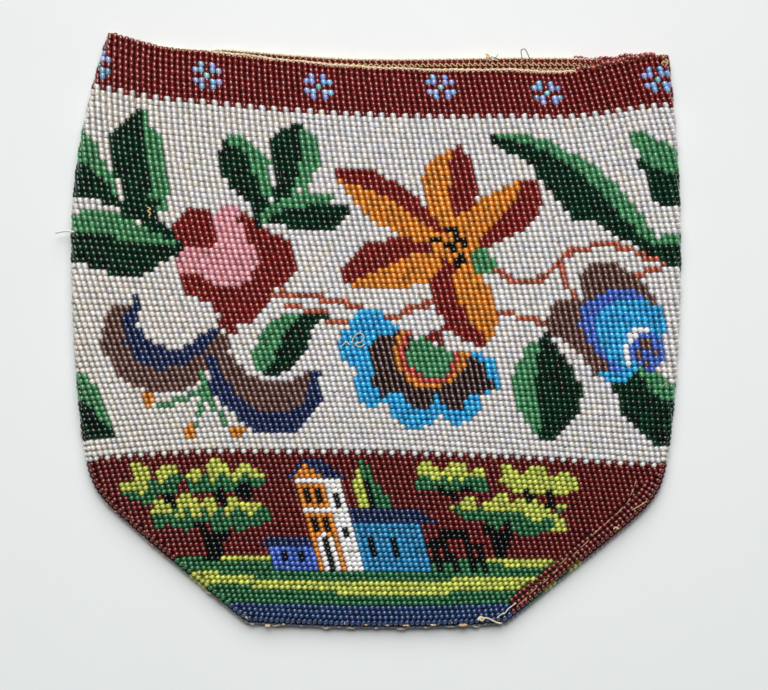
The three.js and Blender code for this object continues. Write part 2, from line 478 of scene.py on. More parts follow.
def draw_iris(c):
    # Brown inside of the left crescent, joined to the inside of the right one.
    c.fill("brown", (118, 303), (131, 303), (122, 330), (135, 359), (208, 344), (227, 330),
           (230, 355), (250, 376), (276, 383), (298, 378), (310, 364), (315, 384), (304, 407),
           (282, 414), (256, 409), (231, 389), (214, 366), (205, 374), (203, 381), (185, 390),
           (141, 390), (118, 377), (103, 350), (101, 332), (106, 316))
    c.fill("navy", (138, 290), (142, 300), (137, 326), (154, 346), (181, 349), (206, 332), (222, 329),
           (206, 347), (187, 364), (160, 370), (139, 363), (124, 342), (124, 318))
    c.fill("navy", (205, 356), (217, 352), (222, 374), (240, 398), (258, 411), (284, 415), (303, 404),
           (312, 370), (319, 372), (323, 400), (311, 418), (292, 433), (256, 431), (237, 418),
           (212, 392))
    c.line("green", 7, (202, 376), (204, 394))
    c.line("green", 5, (203, 389), (184, 398), (158, 408))
    c.line("green", 5, (205, 392), (200, 410), (196, 426))
    c.line("green", 5, (207, 394), (216, 409), (228, 425))
    c.spot("orange", 7, (148, 399), (190, 432), (238, 432))


def draw_peony(c):
    c.fill("sky", (339, 336), (349, 327), (352, 317), (362, 311), (380, 312), (390, 321), (403, 333),
           (492, 358), (500, 372), (500, 388), (481, 396), (480, 410), (471, 423), (452, 424),
           (439, 413), (424, 429), (404, 427), (389, 411), (386, 404), (371, 407), (356, 400),
           (352, 382), (360, 372), (341, 360))
    c.fill("peony", (370, 345), (380, 333), (402, 333), (484, 361), (487, 377), (499, 389),
           (484, 393), (470, 396), (462, 408), (448, 408), (436, 395), (428, 407), (412, 408),
           (400, 393), (384, 396), (370, 384), (375, 364))
    c.line("sky", 7, (470, 355), (480, 357))
    c.fill("white", (403, 329), (409, 338), (457, 354), (467, 351))
    c.line("petal", 6.5, (447, 326), (438, 334), (428, 340))
    c.line("petal", 6, (438, 335), (442, 345))
    c.fill("petal", (436, 306), (445, 327), (462, 339), (485, 348), (487, 340), (470, 321), (457, 297))
    c.line("orange", 6, (402, 334), (395, 350), (398, 366), (412, 381), (430, 387), (451, 381),
           (460, 368), (465, 354))
    c.line("scarlet", 5, (408, 335), (402, 349), (406, 367), (420, 378), (440, 381), (452, 370),
           (457, 356))
    c.fill("green", (412, 339), (425, 338), (440, 347), (454, 357), (447, 373), (442, 378),
           (424, 379), (410, 367), (405, 354))


def draw_blue_flower(c):
    c.fill("brown", (578, 279), (592, 265), (620, 265), (641, 283), (656, 297), (655, 304),
           (640, 298), (617, 371), (596, 377), (586, 362), (568, 343), (548, 335), (546, 316),
           (558, 302), (581, 298))
    c.fill("sky", (600, 299), (640, 302), (660, 304), (667, 318), (664, 337), (640, 370), (625, 384),
           (605, 384), (600, 374), (612, 370), (592, 332), (590, 314))
    c.fill("periwinkle", (612, 288), (632, 288), (646, 302), (625, 299), (604, 306), (592, 320),
           (598, 345), (621, 371), (611, 370), (592, 347), (580, 326), (580, 309), (594, 297))
    c.fill("periwinkle", (636, 332), (655, 334), (664, 346), (662, 367), (648, 371), (632, 361),
           (630, 344))
    c.line("bright", 5, (651, 328), (638, 329), (628, 341), (626, 352), (630, 363))
    c.spot("brown", 5.5, (646, 343))
    c.spot("brown", 3.4, (638, 355), (655, 354), (647, 363))


def draw_trees(c):
    # Left tree: trunk and branches, leaves in shade, then leaves in light.
    c.fill("black", (195, 521), (204, 524), (212, 532), (232, 525), (230, 532), (222, 541),
           (222, 559), (205, 560), (205, 541), (200, 532))
    c.line("black", 9, (164, 492), (176, 508))
    c.line("black", 9, (215, 487), (225, 503))
    c.fill("black", (251, 480), (251, 509), (243, 497), (236, 497), (236, 488))
    for patch in (
        ((152, 478), (183, 472), (182, 480), (176, 488), (177, 493), (163, 493), (150, 498),
         (151, 503), (142, 503), (132, 499), (121, 495), (121, 489), (146, 486)),
        ((185, 478), (203, 472), (222, 472), (266, 477), (264, 487), (253, 488), (251, 481),
         (242, 481), (238, 488), (233, 491), (218, 489), (206, 493), (194, 492), (188, 486)),
        ((149, 511), (160, 508), (264, 505), (271, 510), (269, 522), (240, 531), (231, 527),
         (226, 531), (214, 530), (208, 523), (196, 524), (188, 530), (168, 523), (160, 527),
         (151, 523)),
    ):
        c.fill("tree", *patch)
    for patch in (
        ((134, 463), (142, 463), (150, 468), (153, 477), (148, 482), (146, 489), (142, 493),
         (136, 491), (124, 491), (121, 483), (138, 480), (132, 475), (130, 468)),
        ((163, 465), (172, 464), (177, 470), (174, 474), (167, 477), (163, 486), (157, 485),
         (155, 477)),
        ((187, 468), (198, 468), (200, 473), (199, 479), (191, 482), (188, 476)),
        ((209, 457), (216, 457), (219, 462), (225, 464), (229, 477), (224, 477), (223, 472),
         (218, 472), (214, 483), (208, 482), (204, 466)),
        ((239, 462), (247, 462), (250, 467), (256, 468), (260, 472), (265, 473), (265, 478),
         (247, 478), (246, 473), (237, 483), (231, 482), (229, 475), (235, 471)),
        ((153, 501), (164, 500), (174, 507), (174, 514), (153, 514), (151, 508)),
        ((180, 493), (190, 492), (197, 499), (202, 505), (199, 517), (193, 516), (191, 509),
         (185, 509), (182, 517), (177, 517), (175, 508), (177, 499)),
        ((205, 497), (213, 497), (219, 509), (215, 516), (209, 516), (207, 508), (201, 507)),
        ((228, 497), (236, 497), (239, 502), (245, 503), (245, 507), (235, 508), (226, 517),
         (224, 507)),
        ((251, 502), (262, 500), (263, 507), (257, 512), (254, 518), (248, 517), (247, 513),
         (241, 512), (242, 507)),
    ):
        c.fill("yellow", *patch)
    # Right tree.
    c.fill("black", (483, 525), (495, 528), (500, 533), (508, 521), (514, 521), (515, 537),
           (508, 545), (509, 559), (494, 559), (493, 541), (485, 530))
    c.line("black", 9, (528, 488), (530, 503))
    c.line("black", 8, (553, 491), (549, 508))
    c.line("black", 6, (464, 482), (467, 491))
    c.line("black", 6, (441, 489), (450, 494), (459, 501))
    for patch in (
        ((412, 480), (424, 473), (482, 474), (489, 482), (489, 489), (485, 494), (478, 493),
         (470, 487), (462, 486), (456, 492), (446, 492), (440, 487), (432, 492), (420, 491),
         (413, 487)),
        ((450, 508), (462, 505), (482, 505), (524, 511), (556, 518), (555, 527), (532, 537),
         (520, 535), (512, 527), (510, 520), (503, 523), (497, 528), (488, 525), (482, 520),
         (465, 520)),
        ((554, 510), (565, 509), (565, 514), (556, 515)),
    ):
        c.fill("tree", *patch)
    for patch in (
        ((421, 461), (431, 461), (442, 470), (452, 461), (461, 461), (470, 470), (486, 466),
         (487, 477), (478, 477), (477, 480), (472, 479), (470, 476), (464, 480), (461, 480),
         (460, 476), (454, 476), (454, 483), (449, 483), (447, 475), (441, 475), (440, 478),
         (431, 482), (430, 474), (416, 474)),
        ((500, 472), (504, 463), (512, 463), (515, 468), (523, 475), (532, 465), (541, 465),
         (552, 479), (562, 471), (573, 476), (579, 479), (580, 486), (573, 491), (564, 496),
         (556, 495), (550, 490), (545, 494), (532, 493), (529, 488), (525, 492), (514, 492),
         (509, 487), (501, 481)),
        ((449, 503), (455, 502), (456, 507), (450, 508)),
        ((460, 500), (470, 494), (478, 501), (478, 508), (474, 513), (461, 508)),
        ((482, 502), (488, 499), (491, 504), (498, 492), (504, 492), (511, 497), (508, 508),
         (500, 510), (490, 510), (484, 509)),
        ((509, 505), (515, 501), (518, 498), (527, 498), (530, 503), (534, 498), (547, 506),
         (538, 523), (526, 517), (526, 512), (508, 512)),
        ((542, 510), (551, 509), (567, 520), (569, 528), (564, 534), (560, 530), (552, 529),
         (552, 524), (556, 523), (550, 519), (542, 517)),
        ((552, 508), (558, 503), (565, 504), (563, 509)),
    ):
        c.fill("yellow", *patch)


def draw_village(c):
    # Tower: stepped roof and gable, front with two storeys and a door, and side wall.
    for step in range(4):
        c.block("navy", 2 + step, 2 + step, 329.3 - 5.6 * step, 353.2 + 5.8 * step)
    for step in range(3):
        c.block("orange", 3 + step, 3 + step, 330.3 - 5.75 * step, 336.2 + 5.75 * step)
    c.block("orange", 7, 24, 319, 347.5)
    c.block("bright", 7, 24, 347.5, 364.6)
    for course in (6, 12):
        c.block("bright", course, course, 319, 364.6)
    c.block("bright", 17, 17, 330.2, 335.9)
    c.block("bright", 18, 24, 324.5, 341.7)
    c.block("black", 18, 24, 330.2, 335.9)
    for x, first, last in (
        (327.4, 8, 10), (338.9, 8, 10), (327.4, 14, 16), (338.9, 14, 16), (356, 9, 11), (356, 16, 17),
    ):
        c.block("black", first, last, x - HALF_COLUMN, x + HALF_COLUMN)
    # Low house on the left, house on the right.
    c.block("navy", 18, 18, 274, 319)
    c.block("navy", 19, 19, 271, 319)
    c.block("periwinkle", 20, 24, 273.5, 319)
    for step in range(3):
        c.block("navy", 12 + step, 12 + step, 364.6, 436 + 6 * step)
    c.block("azure", 15, 24, 364.6, 433)
    for x, first, last in ((289, 21, 22), (306.4, 21, 22), (378.2, 18, 21), (401.8, 18, 21)):
        c.block("black", first, last, x - HALF_COLUMN, x + HALF_COLUMN)
    # Cypress.
    for first, last, x in ((2, 2, 394.7), (3, 6, 400.4), (7, 8, 406.1), (9, 11, 411.8)):
        c.block("tree", first, last, 389, x)
    c.block("black", 6, 11, 388.4, 394.2)
    c.block("yellow", 4, 5, 382.5, 388.4)
    c.block("yellow", 6, 11, 376.6, 388.4)
    # Fence.
    c.block("black", 16, 17, 452.2, 477.6)
    for x, first in ((441, 18), (454.5, 16), (473, 16), (484, 19)):
        c.block("black", first, 24, x - HALF_COLUMN, x + HALF_COLUMN)
    for course, x0, x1 in (
        (18, 440, 457), (19, 434, 457), (19, 471, 487), (22, 433, 457), (22, 470, 487),
    ):
        c.block("black", course, course, x0, x1)


def draw_meadow(c):
    """Courses of grass, in shade and in light, over the blue foot of the bag."""
    c.courses("tree", 22, 31, 0, 272)
    c.courses("tree", 22, 31, 430, 800)
    c.courses("tree", 25, 31, 0, 800)
    for row, x0, x1 in (
        (22, 216, 272), (22, 485, 800), (23, 503, 800), (25, 0, 221), (26, 0, 254), (26, 452, 800),
        (27, 0, 800), (28, 250, 800), (29, 336, 448),
    ):
        c.courses("yellow", row, row, x0, x1)
    c.courses("slate", 32, LOWER_COURSES, 0, 800)


# Small flowers of the band: courses and columns of their beads, and the pixels of their middles.
FLORET = [(r, k) for r in (-1, 1) for k in (-2, -1, 1, 2)] + [(r, k) for r in (-2, 2) for k in (-1, 1)]
FLORET_PIXELS = ((92.5, 57), (205, 75), (320, 87), (440, 89), (547, 92), (656, 78))
LEFT_EDGE_PIXEL = 100


def ground_colour(course, column):
    """The grounds: garnet at the mouth, white, and garnet again, with toothed lines between them."""
    odd = column % 2 == 1
    red = (course < BAND_COURSES) | ((course == BAND_COURSES) & odd)
    low = (course > UPPER_COURSES) | ((course == UPPER_COURSES) & odd)
    return np.where(low, CODE["wine"], np.where(red, CODE["garnet"], CODE["white"]))


def draw_pattern(x, y, row, start):
    """Colours of places in the pattern, over the grounds that they start from."""
    chart = Chart(x, y, row, start)
    for draw in (draw_leaves, draw_stems, draw_rose, draw_lily, draw_iris, draw_peony, draw_blue_flower,
                 draw_meadow, draw_trees, draw_village):
        draw(chart)
    return chart.colour


# The lattice of beads

def grid(rows, columns):
    """Row and column of each place in a grid, row by row."""
    return (g.ravel() for g in np.meshgrid(np.arange(rows), np.arange(columns), indexing="ij"))


def course_heights():
    """Height of each course and its share of the bag's length, from the mouth down."""
    banded = BAND_COURSES + 1
    foot = BAG_LENGTH - banded * BAND_PITCH
    white = UPPER_COURSES - banded
    pitch = np.repeat([BAND_PITCH, (foot - GROUND_LINE) / white, GROUND_LINE / LOWER_COURSES],
                      [banded, white, LOWER_COURSES])
    return BAG_LENGTH - np.cumsum(pitch) + pitch / 2, pitch


def round_length(half):
    """Length of a course of beads all the way round."""
    return 4 * half + 2 * np.pi * (FOLD_RADIUS - BEAD_DEPTH)


def pattern_place(height, around):
    """Photograph pixel at which a bead's colour is read: the pattern is knitted twice in the round."""
    centre, half = uncut_run(height)
    repeat = round_length(half) / 2
    within = (around + repeat / 2) % repeat - repeat / 2
    across = np.clip(within / half, -1, 1)
    z = 2 * FOLD_RADIUS - BEAD_DEPTH + swell(height, across)
    return photo_pixel(np.stack([centre + within, course_y(height, across), z], -1) + BASE_MIDDLE)


def column_places(course, column, height, length):
    """Distance round to each bead, and the width of its column."""
    pitch = length / COLUMNS
    # Towards the mouth the front has fewer and wider columns than the back.
    spread = 1 + FRONT_SPREAD * np.clip((height - WAIST_HEIGHT) / (BAG_LENGTH - WAIST_HEIGHT), 0, 1)
    steps = (column + FIRST_COLUMN + COURSE_LEAN * course) % COLUMNS - COLUMNS / 2
    quarter = COLUMNS / 4
    beyond = np.maximum(np.abs(steps) - quarter / spread, 0)
    shrink = quarter / (2 * quarter - quarter / spread)
    reach = np.where(beyond > 0, quarter + beyond * shrink, np.abs(steps) * spread) * pitch
    return np.sign(steps) * reach, pitch * np.where(beyond > 0, shrink, spread)


def knit_florets(colour, course, column, x, y, front):
    """Colours the small flowers on both sides. The one at the left edge is on the front only."""
    for fx, fy in FLORET_PIXELS:
        for mine in (front,) if fx < LEFT_EDGE_PIXEL else (front, ~front):
            near = np.where(mine & (course < BAND_COURSES), np.hypot(x - fx, y - fy), np.inf).argmin()
            for row, step in FLORET:
                spot = (course == course[near] + row) & (column == (column[near] + step) % COLUMNS)
                colour[spot] = CODE["floret"]
            colour[near] = CODE["aqua"]


def knit_lattice():
    """Places, frames, colours and sizes of the beads that are knitted in courses."""
    course, column = grid(UPPER_COURSES + LOWER_COURSES, COLUMNS)
    height, rise = (values[course] for values in course_heights())
    centre, half = uncut_run(height)
    length = round_length(half)
    around, pitch = column_places(course, column, height, length)
    reach = np.abs(around)
    front = reach < length / 4
    x, y = pattern_place(height, around)
    colour = draw_pattern(x, y, course - UPPER_COURSES, ground_colour(course, column))
    knit_florets(colour, course, column, x, y, front)
    # Beads outside the slanted corners and the base fold belong to the edge strips.
    true_centre, true_half = flat_run(height)
    low = height < CORNER_TOP
    place = centre + np.where(front, around, np.sign(around) * (length / 2 - reach)) - true_centre
    slant = np.where(place > 0, edge_slant(RIGHT, height), edge_slant(LEFT, height))
    seamed = front & (place > 0) & (height < SIDE_SEAM_TOP)
    strip = STRIP_WIDTH * np.clip((height - STRIP_FOOT - STRIP_LEAD) / STRIP_FADE, 0, 1)
    margin = np.where(seamed, strip, 0.0) * slant
    keep = (~low | (np.abs(place) < true_half - margin)) & (height > BASE_FOLD + BASE_MARGIN)
    behind = np.sign(around) * (round_length(true_half) / 2 - np.abs(place))
    around = np.where(low, np.where(front, place, behind), around)
    height, around, colour, rise, pitch = (v[keep] for v in (height, around, colour, rise, pitch))
    along, up, out, stretch = wall_frame(height, around)
    return surface(height, around, BEAD_DEPTH), along, up, out, colour, pitch / 2, rise * stretch


def edge_line(step):
    """Fold line of the sewn edge, from the left shoulder round the base to the right one.

    Its points come with the directions along it and out of the bag.
    """
    down = np.linspace(CORNER_TOP, BASE_FOLD, EDGE_SAMPLES)
    centre, half = flat_run(down)
    left, right = (np.stack([centre + side * half, course_y(down, side)], -1) for side in (-1, 1))
    across = np.linspace(-1, 1, EDGE_SAMPLES)[1:-1]
    base_centre, base_half = flat_run(np.full_like(across, BASE_FOLD))
    base = np.stack([base_centre + across * base_half, course_y(BASE_FOLD, across)], -1)
    points = resampled(np.concatenate([left, base, right[::-1]]), step)[0]
    tangent = unit(np.gradient(points, axis=0))
    return points, tangent, np.stack([tangent[:, 1], -tangent[:, 0]], -1)


def edge_strips():
    """Beads along the slanted corners and the base, round the fold and beside the right-hand seam."""
    line, tangent, outward = edge_line(STRIP_STEP)
    flat = np.zeros(len(line))
    along = np.column_stack([tangent, flat])
    row = np.floor((GROUND_LINE - line[:, 1]) * LOWER_COURSES / GROUND_LINE)
    read = np.column_stack([line - COLOUR_INSET * outward, flat + 2 * FOLD_RADIUS])
    x, y = photo_pixel(read + BASE_MIDDLE)
    seamed = (line[:, 0] > 0) & (line[:, 1] < SIDE_SEAM_TOP) & (row < SEAM_FOOT_COURSE)
    found = []
    for turn in FOLD_TURNS:
        out = np.column_stack([outward * np.cos(turn), flat + np.sin(turn)])
        middle = np.column_stack([line, flat + FOLD_RADIUS])
        place = middle + (FOLD_RADIUS - BEAD_DEPTH) * out + BASE_MIDDLE
        colour = draw_pattern(x, y, row, np.where(row < 0, CODE["white"], CODE["wine"]))
        if turn == FOLD_TURNS[0]:
            colour[seamed] = CODE["wine"]
        found.append((place, along, np.cross(out, along), out, colour))
    up = np.column_stack([flat, flat, flat + 1.0])
    z = 2 * FOLD_RADIUS - BEAD_DEPTH + swell(line[:, 1], SEAM_ACROSS)
    chosen = seamed & (line[:, 1] > STRIP_FOOT)
    for inset in SEAM_INSETS:
        place = np.column_stack([line - inset * outward, z]) + BASE_MIDDLE
        beads = (place, along, np.cross(up, along), up, np.full(len(line), CODE["wine"]))
        found.append(tuple(values[chosen] for values in beads))
    strips = [np.concatenate(parts) for parts in zip(*found)]
    count = len(strips[0])
    return *strips, np.full(count, STRIP_RADIUS), np.full(count, STRIP_LENGTH)


# Meshes

def new_mesh(name, points, triangles, attributes, uv):
    """A smooth object from points in millimetres, with point attributes and a map for baked colours."""
    mesh = bpy.data.meshes.new(name)
    mesh.vertices.add(len(points))
    mesh.vertices.foreach_set("co", (np.asarray(points) / 1000).astype(np.float32).ravel())
    triangles = np.asarray(triangles, np.int32)
    mesh.loops.add(triangles.size)
    mesh.loops.foreach_set("vertex_index", triangles.ravel())
    mesh.polygons.add(len(triangles))
    mesh.polygons.foreach_set("loop_start", np.arange(0, triangles.size, 3, dtype=np.int32))
    for key, values in attributes.items():
        kind, field = ("FLOAT_COLOR", "color") if np.ndim(values) == 2 else ("FLOAT", "value")
        layer = mesh.attributes.new(key, kind, "POINT")
        layer.data.foreach_set(field, np.asarray(values, np.float32).ravel())
    mesh.uv_layers.new(name="OFBake").data.foreach_set("uv", np.asarray(uv, np.float32).ravel())
    mesh.update(calc_edges=True)
    mesh.shade_smooth()
    piece = bpy.data.objects.new(name, mesh)
    bpy.context.scene.collection.objects.link(piece)
    return piece


# A bead, in shares of its length: where its ends start, and the bottom of its hole. Painted shade darkens
# the glass towards its ends (there partly the thread in the hole) and flanks, and the bottom of the hole
# counts as more than an end and as half a flank.
END_FROM = 0.45
HOLE_BOTTOM = 0.36
HOLE_END = 1.6
HOLE_FLANK = 0.5
# Room round each bead's own cell of the map.
CELL_MARGIN = 0.06


def bead_form(sides, rings):
    """One bead, with its hole along the second axis, from rings of points.

    Its points and triangles come with their nearness to an end and to a side, and with a flat map.
    """
    points, ends, flanks = [], [], []
    for along, radius in rings:
        for k in range(sides):
            angle = 2 * np.pi * (k + 0.5) / sides
            wide = np.cos(angle) / np.cos(np.pi / sides)
            points.append((radius * wide, along, radius * np.sin(angle)))
            ends.append(1.0 if abs(along) > END_FROM else 0.0)
            flanks.append(abs(wide))
    # The middles of the two ends lie in the hole.
    count = len(points)
    points += [(0, -HOLE_BOTTOM, 0), (0, HOLE_BOTTOM, 0)]
    ends += [HOLE_END, HOLE_END]
    flanks += [HOLE_FLANK, HOLE_FLANK]
    triangles, uv = [], []
    levels = np.linspace(0, 1, len(rings) + 2)
    for ring, (low, high) in enumerate(zip(levels, levels[1:])):
        a = (ring - 1) * sides
        b = ring * sides
        for k in range(sides):
            n = (k + 1) % sides
            s, m, t = k / sides, (k + 0.5) / sides, (k + 1) / sides
            if ring == 0:
                triangles.append((count, n, k))
                uv.append(((m, low), (t, high), (s, high)))
            elif ring == len(rings):
                triangles.append((count + 1, a + k, a + n))
                uv.append(((m, high), (s, low), (t, low)))
            else:
                triangles += [(a + k, a + n, b + k), (a + n, b + n, b + k)]
                uv += [((s, low), (t, low), (s, high)), ((t, low), (t, high), (s, high))]
    return [np.array(values) for values in (points, triangles, ends, flanks, uv)]


FRONT_BEAD = bead_form(6, ((-0.5, 0.72), (-0.28, 0.98), (0.28, 0.98), (0.5, 0.72)))
BACK_BEAD = bead_form(5, ((-0.5, 0.68), (0.0, 1.0), (0.5, 0.68)))


def bead_mesh(name, form, place, along, up, out, tint, radius, length):
    """A piece made of many beads, each with its own lean, size and colour."""
    points, triangles, ends, flanks, uv = form
    count = len(place)
    rise = np.clip(place[:, 1] / LEAN_REACH + 0.5, 0, 1)
    lean = (np.interp(rise, (0, 1), BEAD_LEAN) + rng.normal(0, LEAN_SPREAD, count))[:, None]
    axis = np.cos(lean) * up - np.sin(lean) * along
    wide = np.cross(axis, out)
    tilt = rng.normal(0, TILT_SPREAD, count)[:, None]
    axis, out = axis * np.cos(tilt) + out * np.sin(tilt), out * np.cos(tilt) - axis * np.sin(tilt)
    radius = radius * np.interp(rise, (0, 1), BEAD_WIDTH) * rng.uniform(*WIDTH_RANGE, count)
    length = length * np.interp(rise, (0, 1), BEAD_FILL) * rng.uniform(*LENGTH_RANGE, count)
    shift = rng.normal(0, SHIFT_SPREAD, (count, 2))
    middle = place + along * shift[:, :1] + up * shift[:, 1:]
    parts = sum(direction[:, None] * (points[:, k] * size[:, None])[..., None]
                for k, (direction, size) in enumerate(((wide, radius), (axis, length), (out, radius))))
    cells = int(np.ceil(np.sqrt(count)))
    corner = np.stack([np.arange(count) % cells, np.arange(count) // cells], -1)
    maps = (corner[:, None, None] + CELL_MARGIN + (1 - 2 * CELL_MARGIN) * uv) / cells
    attributes = {
        "bead_colour": np.repeat(np.column_stack([tint, np.ones(count)]), len(points), axis=0),
        "bead_end": np.tile(ends, count),
        "bead_flank": np.tile(flanks, count),
    }
    starts = (np.arange(count) * len(points))[:, None, None]
    return new_mesh(name, (middle[:, None] + parts).reshape(-1, 3), (triangles + starts).reshape(-1, 3),
                    attributes, maps)


# Tints of the white glass, of the dark green glass from teal to nearly black, and of the blue glass.
PEARL_TINTS = np.array([(1.0, 1.0, 1.0), (1.0, 1.0, 1.01), (0.97, 0.96, 1.06), (1.02, 1.0, 0.93),
                        (1.02, 0.97, 0.99), (0.96, 1.0, 1.03)])
SHADE_TINTS = np.array([(1.0, 1.0, 1.0), (0.8, 1.2, 1.1), (0.7, 1.2, 1.5), (1.2, 0.9, 0.8),
                        (4.0, 0.35, 0.5)])
BLUE_TINTS = np.array([(0.75, 1.1, 1.0), (1.1, 0.95, 1.0)])
FIRST_BLUE_SHARE = 0.4
TONE_SPREAD = 0.14
PALE_TONE_SPREAD = 0.08
WARMTH = 0.03 * np.array([1.0, 0.1, -1.1])
MOST_LIGHT = 0.94


def bead_tints(colour):
    """A linear colour for each bead: its palette colour, with differences in tone between beads."""
    count = len(colour)
    pale = (colour == CODE["white"])[:, None]
    dark = (colour == CODE["dark"])[:, None]
    blue = np.isin(colour, [CODE[name] for name in ("floret", "navy", "slate")])[:, None]
    spread = np.where(pale, PALE_TONE_SPREAD, TONE_SPREAD)
    tone = 1 + rng.normal(0, 1, count).clip(-2.4, 2.4)[:, None] * spread
    warm = rng.normal(0, 1, count)[:, None] * WARMTH
    pearl = PEARL_TINTS[rng.integers(0, len(PEARL_TINTS), count)]
    violet = np.where(rng.random(count)[:, None] < FIRST_BLUE_SHARE, *BLUE_TINTS)
    shaded = SHADE_TINTS[rng.integers(0, len(SHADE_TINTS), count)]
    hue = np.where(dark, shaded, np.where(blue, violet, np.where(pale, pearl, 1.0)))
    return (LIGHTS[colour] * tone * (1 + warm) * hue).clip(0, MOST_LIGHT)


def ring_faces(rings, sides, closed=False):
    """Triangles between rings of points, and a map that runs along the rings and then round them."""
    steps = rings if closed else rings - 1
    i, k = grid(steps, sides)
    j = (i + 1) % rings
    n = (k + 1) % sides
    a, b, c, d = i * sides + k, i * sides + n, j * sides + k, j * sides + n
    triangles = np.concatenate([np.column_stack([a, b, c]), np.column_stack([b, d, c])])
    s, t, low, high = i / steps, (i + 1) / steps, k / sides, (k + 1) / sides
    corners = (((s, low), (s, high), (t, low)), ((s, high), (t, high), (t, low)))
    maps = [np.stack([np.stack(corner, -1) for corner in three], 1) for three in corners]
    return triangles, np.concatenate(maps)


def tube(path, radius, colour, sides=5, closed=False):
    """A round thread along a path: points, triangles, a colour for each point and a flat map."""
    path = np.asarray(path, float)
    count = len(path)
    ahead = np.roll(path, -1, 0) - np.roll(path, 1, 0) if closed else np.gradient(path, axis=0)
    tangent = unit(ahead)
    guide = np.where(np.abs(tangent[:, 2:]) > 0.9, np.array([1.0, 0, 0]), np.array([0, 0, 1.0]))
    across = unit(np.cross(tangent, guide))
    over = np.cross(across, tangent)
    angle = (2 * np.pi * np.arange(sides) / sides)[None, :, None]
    radius = np.broadcast_to(radius, count)[:, None, None]
    ring = across[:, None] * np.cos(angle) + over[:, None] * np.sin(angle)
    points = (path[:, None] + radius * ring).reshape(-1, 3)
    triangles, uv = ring_faces(count, sides, closed)
    if not closed:
        hub = len(points)
        last = hub - sides
        points = np.concatenate([points, path[[0, -1]]])
        caps = [(hub, (m + 1) % sides, m) for m in range(sides)]
        caps += [(hub + 1, last + m, last + (m + 1) % sides) for m in range(sides)]
        triangles = np.concatenate([triangles, np.array(caps)])
        uv = np.concatenate([uv, uv[: 2 * sides]])
    return points, triangles, np.tile([*linear(colour), 1.0], (len(points), 1)), uv


# How far each of two wound threads lies from their middle, in radii.
PLY_OFFSET = 0.8


def plies(path, radius, pitch, colour):
    """Two threads wound round each other along a path."""
    line, at = resampled(np.asarray(path, float), pitch / 8)
    tangent = unit(np.gradient(line, axis=0))
    across = unit(np.cross(tangent, np.array([0.05, 0.1, 1.0])))
    over = np.cross(across, tangent)
    turn = (2 * np.pi * at / pitch)[:, None]
    wind = across * np.cos(turn) + over * np.sin(turn)
    return [tube(line + PLY_OFFSET * radius * side * wind, radius, colour) for side in (-1, 1)]


def wander(at, waves):
    """Small uneven swings along a thread, from waves with a size, a rate and a start."""
    return sum(size * np.sin(at * rate + start) for size, rate, start in waves)


def smooth_path(points, steps=8):
    """A smooth line through a few points."""
    points = np.asarray(points, float)
    slope = np.gradient(points, axis=0)
    t = np.linspace(0, 1, steps, endpoint=False)[:, None]
    parts = [
        (2 * t**3 - 3 * t**2 + 1) * p + (t**3 - 2 * t**2 + t) * m
        + (3 * t**2 - 2 * t**3) * q + (t**3 - t**2) * n
        for p, q, m, n in zip(points, points[1:], slope, slope[1:])
    ]
    return np.concatenate([*parts, points[-1:]])


# Materials

def material(name):
    """A new material, with its nodes and its main shader."""
    made = bpy.data.materials.new(name)
    made.use_nodes = True
    tree = made.node_tree
    return made, tree, tree.nodes["Principled BSDF"]


def feed(tree, node, values):
    """Joins inputs of a node to sockets, or sets them to constants."""
    for key, value in values.items():
        if isinstance(value, bpy.types.NodeSocket):
            tree.links.new(value, node.inputs[key])
        else:
            node.inputs[key].default_value = value
    return node


def attribute(tree, name, output):
    node = tree.nodes.new("ShaderNodeAttribute")
    node.attribute_name = name
    return node.outputs[output]


def mix_colour(tree, kind, factor, first, second):
    """A colour mix whose inputs are sockets or constants."""
    node = tree.nodes.new("ShaderNodeMix")
    node.data_type = "RGBA"
    node.blend_type = kind
    return feed(tree, node, {0: factor, 6: first, 7: second}).outputs[2]


def scalar(tree, operation, first, second):
    """A sum, product or power of sockets and constants."""
    node = tree.nodes.new("ShaderNodeMath")
    node.operation = operation
    return feed(tree, node, {0: first, 1: second}).outputs[0]


def own_place(tree):
    return tree.nodes.new("ShaderNodeTexCoord").outputs["Object"]


def noise(tree, scale, detail=2.0):
    """Noise over the object's own place, with a scale given for each millimetre."""
    node = tree.nodes.new("ShaderNodeTexNoise")
    feed(tree, node, {"Vector": own_place(tree), "Scale": scale * 1000, "Detail": detail})
    return node.outputs["Fac"]


def ranged(tree, value, low, high, start=0.3, end=0.7):
    """A value between a start and an end, moved to a range from low to high."""
    node = tree.nodes.new("ShaderNodeMapRange")
    ends = {"From Min": start, "From Max": end, "To Min": low, "To Max": high}
    return feed(tree, node, {"Value": value, **ends}).outputs["Result"]


def bumped(tree, height, strength, distance):
    node = tree.nodes.new("ShaderNodeBump")
    feed(tree, node, {"Height": height, "Strength": strength, "Distance": distance})
    return node.outputs["Normal"]


